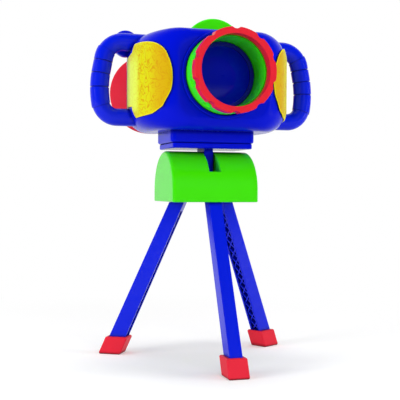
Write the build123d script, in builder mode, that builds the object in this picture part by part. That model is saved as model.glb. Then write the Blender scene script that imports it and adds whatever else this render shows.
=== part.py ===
from build123d import *
import os
from math import asin, atan, cos, degrees, hypot, radians, sin, sqrt, tan

# A child's two-eyed telescope on a folding tripod, in millimetres.
# The origin is on the floor under the tripod's axis, +Z is up and -Y is the front.
# Left and right are as seen from the front: left is -X.

# Tripod legs and feet
FOOT_REACH = 90.0  # from the axis to the middle of each sole
FOOT_WIDTH = 18.5
FOOT_DEPTH = 21.5
FOOT_HEIGHT = 16.5
FOOT_SOLE = 4.0  # rubber under the leg's end
FOOT_ROUND = 1.5
FOOT_FIT = 0.1
LEG_WIDTH = 11.5
LEG_DEPTH_TOP = 12.8
LEG_DEPTH_FOOT = 14.9
LEG_CHEEK = 1.8  # side walls of the channel
LEG_BACK = 2.2  # outer wall of the channel
LEG_PIN_REACH = 23.5  # from the axis to the fold pin
LEG_PIN_DROP = 7.0  # fold pins sit below the tilt pin
LEG_PIN_RADIUS = 2.0
LATTICE_PITCH = 9.6  # one crossed pair of ribs
LATTICE_RIB = 1.3
LATTICE_SETBACK = 0.6  # ribs stop short of the cheeks' edges
LATTICE_TOP = 11.0  # solid knuckle below the fold pin
LATTICE_FOOT = 21.0  # solid end above the floor
PIN_FIT = 0.05  # round every pin and spindle
LEG_ANGLES = {"front": 270.0, "left": 150.0, "right": 30.0}

# Tripod head: a half drum with a tilt slot
TILT_HEIGHT = 155.0
TILT_PIN_RADIUS = 3.0
HEAD_RADIUS = 35.5
HEAD_LENGTH = 79.6
HEAD_SKIRT = 10.6
HEAD_WALL = 2.5
HEAD_ROUND = 3.0
HEAD_RIM_ROUND = 1.2
SLOT_WIDTH = 11.0
SLOT_ANGLE = 62.0  # from the vertical to each end of the slot
SLOT_CHEEK = 3.0
SLOT_PLAY = 0.3  # round the neck at the end of its swing
CHEEK_RISE = 8.0  # slot cheeks start this far above the tilt pin
HANGER_RADIUS = 9.0
SOCKET_WALL = 3.0
SOCKET_RISE = 8.5
LEG_PLAY = 0.35

# Tilt platform: plate, neck and tongue
NECK_THICKNESS = 8.5
NECK_DEPTH = 22.0
NECK_BOSS_RADIUS = 10.0
WASHER_RADIUS = 8.0
WASHER_PLAY = 0.1
PLATE_GAP = 2.0
PLATE_THICKNESS = 5.0
PLATE_WIDTH = 74.6
PLATE_DEPTH = 52.0
PLATE_CORNER = 3.0
PLATE_EDGE = 0.8
TONGUE_WIDTH = 34.0
TONGUE_DEPTH = 26.0
TONGUE_HEIGHT = 6.5
TONGUE_FIT = 0.2

# Mount block under the telescope
BLOCK_WIDTH = 78.4
BLOCK_DEPTH = 54.0
BLOCK_HEIGHT = 10.1
BLOCK_CORNER = 5.0
BLOCK_ROUND = 2.2
BLOCK_SCREW_X = 26.0
BLOCK_SCREW_Y = 18.0

# Telescope housing: two moulded shells
BODY_WIDTH = 142.0
BODY_HEIGHT = 88.0
UPPER_CORNER = 22.0
LOWER_CORNER = 20.0
BODY_FRONT = 55.5  # front face ahead of the axis
BODY_REAR = 38.0  # rear face behind the axis
FRONT_SHOULDER = 31.0  # how far the front draws in at each side
FRONT_SHOULDER_DEPTH = 40.0
FRONT_SHOULDER_POWER = 1.6  # 2 is an ellipse and 1 a straight slant
FRONT_EDGE = 10.0  # how far the front draws in above and below
FRONT_EDGE_DEPTH = 14.0
REAR_SHOULDER = 19.0
REAR_SHOULDER_DEPTH = 26.0
REAR_EDGE = 8.0
REAR_EDGE_DEPTH = 10.0
WALL = 2.5
POST_RADIUS = 4.6
POST_X = 36.0
POST_INSET = 11.5  # posts in from the roof and the underside
SCREW_RADIUS = 1.5
SCREW_HEAD_RADIUS = 3.0
SCREW_HEAD = 2.0
SCREW_FIT = 0.05
SCREW_RECESS = 5.0
SCREW_GRIP = 11.0  # thread past the joint

# Handles and side pads
HANDLE_Y = 3.0  # also the seam between the shells
HANDLE_ROOT = 25.0  # inside the housing's side
UPPER_ARM_DROP = 7.5  # below the roof
LOWER_ARM = 12.7  # above the housing's underside
ARM_RADIUS = 7.9
ARM_FIT = 0.15
GRIP_REACH = 28.4  # out from the housing's side
GRIP_RISE = 40.4
UPPER_ELBOW = 20.6
LOWER_ELBOW = 24.4
GRIP_BENDS = (18.0, 85.0, 15.0)
GRIP_RADIUS = 8.5
GRIP_START = 49.0  # along the tube from its upper root
GRIP_RINGS = (10.2, 11.4, 12.1, 16.3)  # the grip's rings from the top
RING_GROOVE = 1.0
RING_GROOVE_DEPTH = 0.8
PAD_PROUD = 1.2
PAD_REAR = 6.2  # behind the axis
PAD_FOLD = -18.0  # where the front outline hands over to the side's
PAD_WAIST = -13.0  # where the side's outline narrows to pass between the arms
PAD_ARM_GAP = 0.6
PAD_BROW = ((3.9, 76.5), (12.1, 73.9), (21.3, 62.1))  # in from the side, up from the underside
PAD_CHEEK = (25.0, 46.9)
PAD_CHIN = ((20.0, 22.8), (17.2, 15.8), (13.4, 13.9))
PAD_TIP = 10.3
PAD_SHOULDER = 69.0
PAD_REAR_TOP = 65.5
STRAP_LUG_RADIUS = 12.2
STRAP_LUG_THICKNESS = 6.0
STRAP_LUG_OUT = 0.5  # out from the housing's side
STRAP_LUG_DROP = 6.6  # below the roof
STRAP_LUG_Y = 15.5
STRAP_LUG_FIT = 0.1
STRAP_LUG_ROUND = 1.2
STRAP_HOLE_SHIFT = 3.0  # out and up from the lug's middle
STRAP_HOLE_RADIUS = 3.5

# Coarse focus barrel
BARREL_RISE = 47.4  # optical axis above the housing's underside
SLEEVE_RADIUS = 34.8
SLEEVE_BORE = 29.3
SLEEVE_PLAY = 0.3
SLEEVE_FRONT = 77.5  # ahead of the axis
SLEEVE_TAIL = 38.0
FLANGE_RADIUS = 37.4
FLANGE_THICKNESS = 2.5
COLLAR_RADIUS = 38.2
COLLAR_PROUD = 2.0
GUIDE_LENGTH = 11.0  # collar tube behind the front face
RING_FRONT = 87.4
RING_RADIUS = 36.0
RING_BORE = 30.3
RING_EDGE = 0.8
SPIGOT_RADIUS = 32.6
SPIGOT_BORE = 31.4
SPIGOT_LENGTH = 3.5
SPIGOT_FIT = 0.05
NOTCH_COUNT = 10  # round the ring, one at the top, each with a thumb dimple behind it
NOTCH_RADIUS = 5.0
NOTCH_DEPTH = 1.8
DIMPLE_RADIUS = 5.0
DIMPLE_DEPTH = 1.6
DIMPLE_BACK = 8.5  # behind the sleeve's front shoulder

# Objective
CELL_PLAY = 0.3
CELL_FRONT = 50.0  # ahead of the axis
CELL_LENGTH = 10.0
CELL_BORE = 25.0
LENS_RADIUS = 27.0
LENS_FIT = 0.05
LENS_RIM = 0.3  # flat rim showing inside the seat
LENS_EDGE = 2.4
LENS_BULGE = 3.2
LENS_SETBACK = 2.2  # retaining ring ahead of the lens
RETAINER_BORE = 25.8
KEY_WIDTH = 4.0
KEY_PLAY = 0.3
KEY_FORK = 3.0
KEY_LENGTH = 8.0
KEY_RAIL_HEIGHT = 12.0
KEY_RAIL_LENGTH = 20.0

# Fine focus wheel and eyepieces
WHEEL_RADIUS = 28.4
WHEEL_THICKNESS = 9.0
WHEEL_FRONT = 27.0  # ahead of the axis
WHEEL_ROUND = 1.6
WHEEL_PLAY = 1.6
WHEEL_DISH = 1.2
WHEEL_HUB_RADIUS = 7.0
WHEEL_RIM = 12.5
SPINDLE_DROP = 15.6  # below the roof
SPINDLE_RADIUS = 2.5
SPINDLE_TAIL = 20.0
LUG_THICKNESS = 4.0
LUG_GAP = 2.5
LUG_RADIUS = 5.5
EYE_X = 27.0
EYE_RISE = 41.4
EYE_TUBE_RADIUS = 13.0
EYE_TUBE_BORE = 11.0
EYE_TUBE_FRONT = 2.0
EYE_TUBE_REAR = 46.0
EYE_TUBE_PLAY = 0.3
EYE_LENS_SEAT = 3.0
EYE_LENS_RADIUS = 11.8
EYE_LENS_EDGE = 2.0
EYE_LENS_BULGE = 1.6
BRIDGE_Y = 8.0
BRIDGE_THICKNESS = 4.0
BRIDGE_RING = 2.5
BRIDGE_DEPTH = 16.0
BRIDGE_STEM = 12.0
BRIDGE_FIT = 0.05

# Eye mask
PLINTH_X = 28.0
PLINTH_RADIUS = 21.0
PLINTH_LENGTH = 8.0
MASK_WALL = 3.0
MASK_FIT = 0.1
MASK_REAR = 68.0
MASK_LOBE_X = 38.2
MASK_LOBE_RADIUS = 38.6
MASK_RISE = 41.0
MASK_GAP = 0.2
NOSE_RADIUS = 17.0
NOSE_DEPTH = 22.0
NOSE_TIP_RADIUS = 4.0

# Places worked out from the sizes above
LEG_PIN_Z = TILT_HEIGHT - LEG_PIN_DROP
LEG_LEAN = atan((FOOT_REACH - LEG_PIN_REACH) / LEG_PIN_Z)
LEG_LENGTH = hypot(FOOT_REACH - LEG_PIN_REACH, LEG_PIN_Z)
HEAD_BOTTOM = TILT_HEIGHT - HEAD_SKIRT
PLATE_BOTTOM = TILT_HEIGHT + HEAD_RADIUS + PLATE_GAP
PLATE_TOP = PLATE_BOTTOM + PLATE_THICKNESS
BODY_BOTTOM = PLATE_TOP + BLOCK_HEIGHT
BODY_TOP = BODY_BOTTOM + BODY_HEIGHT
BODY_MID = BODY_BOTTOM + BODY_HEIGHT / 2
BODY_DEPTH = BODY_FRONT + BODY_REAR
BODY_SIDE = BODY_WIDTH / 2
UPPER_ARM_Z = BODY_TOP - UPPER_ARM_DROP
LOWER_ARM_Z = BODY_BOTTOM + LOWER_ARM
AXIS_Z = BODY_BOTTOM + BARREL_RISE
SPINDLE_Z = BODY_TOP - SPINDLE_DROP
EYE_Z = BODY_BOTTOM + EYE_RISE
MASK_Z = BODY_BOTTOM + MASK_RISE
STRAP_LUG_X = BODY_SIDE + STRAP_LUG_OUT
STRAP_LUG_Z = BODY_TOP - STRAP_LUG_DROP
COLLAR_BORE = SLEEVE_RADIUS + SLEEVE_PLAY
FLANGE_FRONT = BODY_FRONT - GUIDE_LENGTH - SLEEVE_PLAY
CELL_RADIUS = SLEEVE_BORE - CELL_PLAY
LENS_SEAT = CELL_FRONT - LENS_SETBACK
POST_HEIGHTS = (BODY_BOTTOM + POST_INSET, BODY_TOP - POST_INSET)
SHELL_POSTS = [(x, z) for x in (-POST_X, POST_X) for z in POST_HEIGHTS]
BLOCK_SCREWS = [(x, y) for x in (-BLOCK_SCREW_X, BLOCK_SCREW_X) for y in (-BLOCK_SCREW_Y, BLOCK_SCREW_Y)]

os.makedirs("parts", exist_ok=True)


def save(piece, name):
    """Name a finished piece and write it out."""
    piece.part.label = name
    export_step(piece.part, f"parts/{name}.step")


def front_plane(y, x=0, z=0):
    """A plane across the optical axis: sketches read as seen from the front, and extrude forwards."""
    return Plane(origin=(x, y, z), x_dir=(1, 0, 0), z_dir=(0, -1, 0))


def leg_plane(angle):
    """The upright plane of one leg, from the tripod's axis outwards."""
    out = (cos(radians(angle)), sin(radians(angle)), 0)
    side = (sin(radians(angle)), -cos(radians(angle)), 0)
    return Plane(origin=(0, 0, 0), x_dir=out, z_dir=side)


def along_leg(down, across):
    """A point in the leg's plane: down the leg from its fold pin, and outwards across it."""
    reach = LEG_PIN_REACH + down * sin(LEG_LEAN) + across * cos(LEG_LEAN)
    height = LEG_PIN_Z - down * cos(LEG_LEAN) + across * sin(LEG_LEAN)
    return (reach, height)


def half_depth(down):
    """Half the leg's depth, which grows from its fold pin to the floor."""
    return (LEG_DEPTH_TOP + (LEG_DEPTH_FOOT - LEG_DEPTH_TOP) * down / LEG_LENGTH) / 2


def draw_in(reach, depth, back, power=2):
    """How far a rounded shoulder draws in, a distance back from the end face."""
    if back >= depth:
        return 0.0
    return reach * (1 - (1 - ((depth - back) / depth) ** power) ** (1 / power))


def housing_form(inset):
    """The housing's outer form, drawn in by a wall or swelled by a pad's thickness."""
    front_stations = [FRONT_SHOULDER_DEPTH * (1 - cos(radians(a))) for a in (0, 22.5, 45, 67.5, 90)]
    rear_stations = [BODY_DEPTH - REAR_SHOULDER_DEPTH * (1 - cos(radians(a))) for a in (90, 60, 30, 0)]
    with BuildPart() as form:
        for back in front_stations + rear_stations:
            ahead = BODY_DEPTH - back
            half_width = BODY_SIDE - draw_in(REAR_SHOULDER, REAR_SHOULDER_DEPTH, ahead)
            half_width -= draw_in(FRONT_SHOULDER, FRONT_SHOULDER_DEPTH, back, FRONT_SHOULDER_POWER)
            half_height = BODY_HEIGHT / 2 - draw_in(FRONT_EDGE, FRONT_EDGE_DEPTH, back)
            half_height -= draw_in(REAR_EDGE, REAR_EDGE_DEPTH, ahead)
            scale = half_height / (BODY_HEIGHT / 2)
            upper = UPPER_CORNER * scale - inset
            lower = LOWER_CORNER * scale - inset
            across = half_width - inset
            up = half_height - inset
            y = -BODY_FRONT + inset + back * (BODY_DEPTH - 2 * inset) / BODY_DEPTH
            with BuildSketch(front_plane(y, z=BODY_MID)):
                with BuildLine():
                    FilletPolyline(
                        (-across, -up),
                        (across, -up),
                        (across, up),
                        (-across, up),
                        radius=(lower, lower, upper, upper),
                        close=True,
                    )
                make_face()
        loft()
    return form.part


def head_form(inset):
    """The tripod head's half drum, drawn in by a wall and open below when it is."""
    with BuildPart() as form:
        with BuildSketch(Plane.YZ):
            with Locations((0, TILT_HEIGHT)):
                Circle(HEAD_RADIUS - inset)
            with Locations((0, TILT_HEIGHT - HEAD_SKIRT / 2)):
                Rectangle(2 * (HEAD_RADIUS - inset), HEAD_SKIRT)
            with Locations((0, HEAD_BOTTOM)):
                Rectangle(
                    2 * HEAD_RADIUS, 2 * HEAD_RADIUS, align=(Align.CENTER, Align.MAX), mode=Mode.SUBTRACT
                )
        extrude(amount=HEAD_LENGTH / 2 - inset, both=True)
    return form.part


outer_form = housing_form(0)
cavity_form = housing_form(WALL)
rib_form = housing_form(WALL / 2)  # ribs are trimmed to run halfway into the walls

# Leg sockets: three pairs of cheeks inside the head, each open towards the axis so that its leg
# can fold in, with a slanted wall between them that stops the leg at its splay
with BuildPart() as sockets:
    socket_half = LEG_WIDTH / 2 + LEG_PLAY + SOCKET_WALL
    for angle in LEG_ANGLES.values():
        with BuildSketch(leg_plane(angle)):
            with Locations((LEG_PIN_REACH - LEG_DEPTH_TOP / 2 - SOCKET_WALL, HEAD_BOTTOM)):
                Rectangle(HEAD_LENGTH, LEG_PIN_Z + SOCKET_RISE - HEAD_BOTTOM, align=(Align.MIN, Align.MIN))
        extrude(amount=socket_half, both=True)
    for angle in LEG_ANGLES.values():
        with BuildSketch(leg_plane(angle)):
            with BuildLine():
                stop_top = along_leg(-LEG_LENGTH, half_depth(-LEG_LENGTH) + LEG_PLAY)
                stop_foot = along_leg(LEG_LENGTH, half_depth(LEG_LENGTH) + LEG_PLAY)
                Polyline(stop_top, stop_foot, (0, 0), close=True)
            make_face()
            with BuildLine():
                wall_top = along_leg(-LEG_LENGTH, half_depth(-LEG_LENGTH) + LEG_PLAY + SOCKET_WALL)
                wall_foot = along_leg(LEG_LENGTH, half_depth(LEG_LENGTH) + LEG_PLAY + SOCKET_WALL)
                Polyline(wall_top, wall_foot, (2 * FOOT_REACH, wall_top[1]), close=True)
            make_face()
        extrude(amount=LEG_WIDTH / 2 + LEG_PLAY, both=True, mode=Mode.SUBTRACT)
        with BuildSketch(leg_plane(angle)):
            with Locations((LEG_PIN_REACH, LEG_PIN_Z)):
                Circle(LEG_PIN_RADIUS + PIN_FIT)
        extrude(amount=socket_half, both=True, mode=Mode.SUBTRACT)
    add(head_form(HEAD_WALL / 2), mode=Mode.INTERSECT)

# Tripod head: a hollow half drum, slotted over the top for the platform's neck
with BuildPart() as tripod_head:
    add(head_form(0))
    ends = tripod_head.faces().filter_by(Axis.X)
    fillet(ends.edges().filter_by(lambda edge: edge.center().Z > HEAD_BOTTOM + HEAD_ROUND), HEAD_ROUND)
    fillet(tripod_head.faces().sort_by(Axis.Z)[0].edges(), HEAD_RIM_ROUND)
    add(head_form(HEAD_WALL), mode=Mode.SUBTRACT)
    with BuildSketch(Plane.YZ):
        with Locations((0, TILT_HEIGHT)):
            Circle(HEAD_RADIUS - HEAD_WALL / 2)
        with Locations((0, TILT_HEIGHT + CHEEK_RISE)):
            Rectangle(2 * HEAD_RADIUS, 4 * HEAD_RADIUS, align=(Align.CENTER, Align.MAX), mode=Mode.SUBTRACT)
        with Locations((0, TILT_HEIGHT)):
            Circle(HANGER_RADIUS)
            Rectangle(2 * HANGER_RADIUS, 2 * CHEEK_RISE, align=(Align.CENTER, Align.MIN))
    extrude(amount=SLOT_WIDTH / 2 + SLOT_CHEEK, both=True)
    add(sockets.part)
    with BuildSketch(Plane.YZ):
        with BuildLine():
            # The slot's floor lies along the neck's edge at the end of its swing
            neck_half = NECK_DEPTH / 2 + SLOT_PLAY
            swing = radians(SLOT_ANGLE) - asin(neck_half / HEAD_RADIUS)
            floor_rise = (neck_half - neck_half * cos(swing)) / tan(swing) - neck_half * sin(swing)
            far = 2 * HEAD_RADIUS
            far_rise = floor_rise + (far - neck_half) / tan(swing)
            half_slot = [(neck_half, -neck_half), (neck_half, floor_rise), (far, far_rise), (far, 2 * far)]
            slot_points = half_slot + [(-y, z) for y, z in reversed(half_slot)]
            Polyline(*[(y, TILT_HEIGHT + z) for y, z in slot_points], close=True)
        make_face()
    extrude(amount=SLOT_WIDTH / 2, both=True, mode=Mode.SUBTRACT)
    with BuildSketch(Plane.YZ):
        with Locations((0, TILT_HEIGHT)):
            Circle(TILT_PIN_RADIUS + PIN_FIT)
    extrude(amount=HEAD_LENGTH / 4, both=True, mode=Mode.SUBTRACT)
save(tripod_head, "tripod_head")

# Tilt pin: a steel pin across the slot's cheeks
with BuildPart() as tilt_pin:
    with BuildSketch(Plane.YZ):
        with Locations((0, TILT_HEIGHT)):
            Circle(TILT_PIN_RADIUS)
    extrude(amount=SLOT_WIDTH / 2 + SLOT_CHEEK, both=True)
    chamfer(tilt_pin.edges().filter_by(GeomType.CIRCLE), TILT_PIN_RADIUS / 6)
save(tilt_pin, "tilt_pin")

# Friction washers: one each side of the neck, holding the telescope where it is tipped
with BuildPart() as tilt_washers:
    for side in (-1, 1):
        inner_face = NECK_THICKNESS / 2 + WASHER_PLAY
        with BuildSketch(Plane.YZ.offset(side * inner_face)):
            with Locations((0, TILT_HEIGHT)):
                Circle(WASHER_RADIUS)
                Circle(TILT_PIN_RADIUS + PIN_FIT, mode=Mode.SUBTRACT)
        extrude(amount=side * (SLOT_WIDTH / 2 - inner_face))
save(tilt_washers, "tilt_washers")

# Tilt platform: the neck swings in the head's slot, and the tongue on the plate takes the telescope
with BuildPart() as tilt_platform:
    with BuildSketch(Plane.XY.offset(PLATE_BOTTOM)):
        RectangleRounded(PLATE_WIDTH, PLATE_DEPTH, PLATE_CORNER)
    extrude(amount=PLATE_THICKNESS)
    chamfer(tilt_platform.faces().filter_by(Axis.Z).edges(), PLATE_EDGE)
    with BuildSketch(Plane.YZ):
        with Locations((0, TILT_HEIGHT)):
            Circle(NECK_BOSS_RADIUS)
        with Locations((0, PLATE_BOTTOM)):
            Rectangle(NECK_DEPTH, PLATE_GAP, align=(Align.CENTER, Align.MAX))
        make_hull()
    extrude(amount=NECK_THICKNESS / 2, both=True)
    with BuildSketch(Plane.YZ):
        with Locations((0, PLATE_BOTTOM)):
            Rectangle(NECK_DEPTH, PLATE_THICKNESS / 2, align=(Align.CENTER, Align.MIN))
    extrude(amount=NECK_THICKNESS / 2, both=True)
    with BuildSketch(Plane.XY.offset(PLATE_TOP)):
        RectangleRounded(TONGUE_WIDTH, TONGUE_DEPTH, PLATE_CORNER)
    extrude(amount=TONGUE_HEIGHT)
    chamfer(tilt_platform.faces().sort_by(Axis.Z)[-1].edges(), PLATE_EDGE)
    with BuildSketch(Plane.YZ):
        with Locations((0, TILT_HEIGHT)):
            Circle(TILT_PIN_RADIUS + PIN_FIT)
    extrude(amount=NECK_THICKNESS, both=True, mode=Mode.SUBTRACT)
save(tilt_platform, "tilt_platform")

# Legs: channel mouldings open towards the axis, stiffened by crossed ribs, with a round knuckle
for leg_name, angle in LEG_ANGLES.items():
    plane = leg_plane(angle)
    with BuildPart() as leg:
        with BuildSketch(plane):
            with Locations((LEG_PIN_REACH, LEG_PIN_Z)):
                Circle(LEG_DEPTH_TOP / 2)
            with BuildLine():
                Polyline(
                    along_leg(0, half_depth(0)),
                    along_leg(2 * LEG_LENGTH, half_depth(2 * LEG_LENGTH)),
                    along_leg(2 * LEG_LENGTH, -half_depth(2 * LEG_LENGTH)),
                    along_leg(0, -half_depth(0)),
                    close=True,
                )
            make_face()
        extrude(amount=LEG_WIDTH / 2, both=True)
        split(bisect_by=Plane.XY.offset(FOOT_SOLE), keep=Keep.TOP)
        lattice_end = LEG_LENGTH - LATTICE_FOOT
        with BuildSketch(plane):
            with BuildLine():
                Polyline(
                    along_leg(LATTICE_TOP, half_depth(LATTICE_TOP) - LEG_BACK),
                    along_leg(lattice_end, half_depth(lattice_end) - LEG_BACK),
                    along_leg(lattice_end, -LEG_DEPTH_FOOT),
                    along_leg(LATTICE_TOP, -LEG_DEPTH_FOOT),
                    close=True,
                )
            make_face()
        extrude(amount=LEG_WIDTH / 2 - LEG_CHEEK, both=True, mode=Mode.SUBTRACT)
        # The crossed ribs are drawn square to the channel's back and stand on it
        channel = LEG_WIDTH - 2 * LEG_CHEEK
        cells = int((lattice_end - LATTICE_TOP) // LATTICE_PITCH)
        pitch = (lattice_end - LATTICE_TOP) / cells
        rib_length = hypot(channel, pitch)
        rib_angle = degrees(atan(pitch / channel))
        rib_back = half_depth(LATTICE_TOP) - LEG_BACK
        top_point = plane.from_local_coords((*along_leg(LATTICE_TOP, rib_back), 0))
        low_point = plane.from_local_coords((*along_leg(lattice_end, rib_back), 0))
        rib_plane = Plane(
            origin=top_point,
            x_dir=plane.z_dir,
            z_dir=plane.z_dir.cross(low_point - top_point),
        )
        outward = plane.from_local_coords((*along_leg(LATTICE_TOP, LEG_DEPTH_TOP), 0)) - top_point
        inward_sign = -1 if rib_plane.z_dir.dot(outward) > 0 else 1
        down_sign = 1 if rib_plane.y_dir.dot(low_point - top_point) > 0 else -1
        with BuildSketch(rib_plane.offset(-inward_sign * LEG_BACK / 2)):
            for cell in range(cells):
                with Locations((0, down_sign * (cell + 0.5) * pitch)):
                    Rectangle(rib_length, LATTICE_RIB, rotation=rib_angle)
                    Rectangle(rib_length, LATTICE_RIB, rotation=-rib_angle)
        rib_height = rib_back + half_depth(LATTICE_TOP) - LATTICE_SETBACK
        extrude(amount=inward_sign * (rib_height + LEG_BACK / 2))
        with BuildSketch(plane):
            with Locations((LEG_PIN_REACH, LEG_PIN_Z)):
                Circle(LEG_PIN_RADIUS + PIN_FIT)
        extrude(amount=LEG_WIDTH, both=True, mode=Mode.SUBTRACT)
    save(leg, f"{leg_name}_leg")

    with BuildPart() as foot:
        with BuildSketch(plane):
            with BuildLine():
                sole_in = FOOT_REACH - FOOT_DEPTH / 2
                sole_out = FOOT_REACH + FOOT_DEPTH / 2
                shift = FOOT_HEIGHT * (FOOT_REACH - LEG_PIN_REACH) / LEG_PIN_Z
                Polyline(
                    (sole_in, 0),
                    (sole_out, 0),
                    (sole_out - shift, FOOT_HEIGHT),
                    (sole_in - shift, FOOT_HEIGHT),
                    close=True,
                )
            make_face()
        extrude(amount=FOOT_WIDTH / 2, both=True)
        fillet(foot.edges(), FOOT_ROUND)
        with BuildSketch(plane):
            with BuildLine():
                Polyline(
                    along_leg(0, half_depth(0) + FOOT_FIT),
                    along_leg(2 * LEG_LENGTH, half_depth(2 * LEG_LENGTH) + FOOT_FIT),
                    along_leg(2 * LEG_LENGTH, -half_depth(2 * LEG_LENGTH) - FOOT_FIT),
                    along_leg(0, -half_depth(0) - FOOT_FIT),
                    close=True,
                )
            make_face()
            with Locations((FOOT_REACH, FOOT_SOLE)):
                Rectangle(4 * FOOT_DEPTH, LEG_LENGTH, align=(Align.CENTER, Align.MAX), mode=Mode.SUBTRACT)
        extrude(amount=LEG_WIDTH / 2 + FOOT_FIT, both=True, mode=Mode.SUBTRACT)
    save(foot, f"{leg_name}_foot")

    with BuildPart() as leg_pin:
        with BuildSketch(plane):
            with Locations((LEG_PIN_REACH, LEG_PIN_Z)):
                Circle(LEG_PIN_RADIUS)
        extrude(amount=socket_half, both=True)
    save(leg_pin, f"{leg_name}_leg_pin")

# Mount block: the telescope's own foot, with a socket for the platform's tongue
with BuildPart() as mount_block:
    with BuildSketch(Plane.XY.offset(PLATE_TOP)):
        RectangleRounded(BLOCK_WIDTH, BLOCK_DEPTH, BLOCK_CORNER)
    extrude(amount=BLOCK_HEIGHT)
    fillet(mount_block.faces().sort_by(Axis.Z)[0].edges(), BLOCK_ROUND)
    with BuildSketch(Plane.XY.offset(PLATE_TOP)):
        RectangleRounded(
            TONGUE_WIDTH + 2 * TONGUE_FIT, TONGUE_DEPTH + 2 * TONGUE_FIT, PLATE_CORNER + TONGUE_FIT
        )
    extrude(amount=TONGUE_HEIGHT + TONGUE_FIT, mode=Mode.SUBTRACT)
    with Locations(Plane(origin=(0, 0, PLATE_TOP), x_dir=(1, 0, 0), z_dir=(0, 0, -1))):
        with Locations(*[(x, -y) for x, y in BLOCK_SCREWS]):
            CounterBoreHole(
                SCREW_RADIUS + SCREW_FIT, SCREW_HEAD_RADIUS + SCREW_FIT, SCREW_HEAD + SCREW_FIT, BLOCK_HEIGHT
            )
save(mount_block, "mount_block")

with BuildPart() as block_screws:
    with BuildSketch(Plane.XY.offset(PLATE_TOP + SCREW_FIT)):
        with Locations(*BLOCK_SCREWS):
            Circle(SCREW_HEAD_RADIUS)
    extrude(amount=SCREW_HEAD)
    with BuildSketch(Plane.XY.offset(PLATE_TOP + SCREW_HEAD)):
        with Locations(*BLOCK_SCREWS):
            Circle(SCREW_RADIUS)
    extrude(amount=BLOCK_HEIGHT - SCREW_HEAD + 2 * WALL)
save(block_screws, "block_screws")

# Ribs inside the front shell: barrel guide, spindle lugs, screw posts, floor bosses and key rail
with BuildPart() as front_ribs:
    with BuildSketch(front_plane(-BODY_FRONT + GUIDE_LENGTH, z=AXIS_Z)):
        Circle(COLLAR_RADIUS)
    extrude(amount=GUIDE_LENGTH)
    wheel_faces = (-WHEEL_FRONT - LUG_GAP, -WHEEL_FRONT + WHEEL_THICKNESS + LUG_GAP + LUG_THICKNESS)
    for lug_rear in wheel_faces:
        with BuildSketch(front_plane(lug_rear, z=SPINDLE_Z)):
            Circle(LUG_RADIUS)
            Rectangle(2 * LUG_RADIUS, BODY_HEIGHT, align=(Align.CENTER, Align.MIN))
        extrude(amount=LUG_THICKNESS)
    with BuildSketch(front_plane(HANDLE_Y)):
        with Locations(*SHELL_POSTS):
            Circle(POST_RADIUS)
    extrude(amount=BODY_DEPTH)
    with BuildSketch(Plane.XY.offset(BODY_BOTTOM)):
        with Locations(*[(x, y) for x, y in BLOCK_SCREWS if y < HANDLE_Y]):
            Circle(POST_RADIUS)
    extrude(amount=3 * WALL)
    with BuildSketch(Plane.XY.offset(BODY_BOTTOM)):
        with Locations((0, -SLEEVE_TAIL + KEY_PLAY)):
            Rectangle(KEY_WIDTH, KEY_RAIL_LENGTH, align=(Align.CENTER, Align.MIN))
    extrude(amount=KEY_RAIL_HEIGHT)
    add(rib_form, mode=Mode.INTERSECT)

# Front shell: front of the housing, with the barrel's collar and the wheel's slot
with BuildPart() as front_shell:
    add(outer_form)
    add(cavity_form, mode=Mode.SUBTRACT)
    split(bisect_by=front_plane(HANDLE_Y), keep=Keep.TOP)
    split(bisect_by=Plane.XY.offset(BODY_BOTTOM), keep=Keep.TOP)
    add(front_ribs.part)
    with BuildSketch(front_plane(-BODY_FRONT + FRONT_EDGE_DEPTH / 2, z=AXIS_Z)):
        Circle(COLLAR_RADIUS)
        Circle(COLLAR_BORE, mode=Mode.SUBTRACT)
    extrude(amount=FRONT_EDGE_DEPTH / 2 + COLLAR_PROUD)
    fillet(front_shell.edges().filter_by(GeomType.CIRCLE).group_by(Axis.Y)[0], COLLAR_PROUD / 3)
    with BuildSketch(front_plane(-BODY_FRONT + GUIDE_LENGTH, z=AXIS_Z)):
        Circle(COLLAR_BORE)
    extrude(amount=GUIDE_LENGTH + 2 * COLLAR_PROUD, mode=Mode.SUBTRACT)
    slot_mid = -WHEEL_FRONT + WHEEL_THICKNESS / 2
    roof_drop = BODY_TOP - WALL - SPINDLE_Z
    slot_half = sqrt(WHEEL_RADIUS**2 - roof_drop**2) + WHEEL_PLAY
    with BuildSketch(Plane.XY.offset(BODY_TOP - 2 * WALL)):
        with Locations((0, slot_mid)):
            Rectangle(2 * slot_half, WHEEL_THICKNESS + 2 * WHEEL_PLAY)
    extrude(amount=4 * WALL, mode=Mode.SUBTRACT)
    with BuildSketch(front_plane(HANDLE_Y, z=SPINDLE_Z)):
        Circle(SPINDLE_RADIUS + PIN_FIT)
    extrude(amount=HANDLE_Y + WHEEL_FRONT + LUG_GAP + 2 * LUG_THICKNESS, mode=Mode.SUBTRACT)
    with BuildSketch(front_plane(HANDLE_Y)):
        with Locations(*SHELL_POSTS):
            Circle(SCREW_RADIUS + SCREW_FIT)
    extrude(amount=SCREW_GRIP + SCREW_FIT, mode=Mode.SUBTRACT)
    with BuildSketch(Plane.XY.offset(BODY_BOTTOM - WALL)):
        with Locations(*BLOCK_SCREWS):
            Circle(SCREW_RADIUS + SCREW_FIT)
    extrude(amount=3 * WALL + SCREW_FIT, mode=Mode.SUBTRACT)
    for arm_z in (UPPER_ARM_Z, LOWER_ARM_Z):
        for side in (-1, 1):
            with BuildSketch(Plane.YZ.offset(side * (BODY_SIDE - HANDLE_ROOT - ARM_FIT))):
                with Locations((HANDLE_Y, arm_z)):
                    Circle(ARM_RADIUS + ARM_FIT)
            extrude(amount=side * BODY_SIDE, mode=Mode.SUBTRACT)
save(front_shell, "front_shell")

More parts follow.
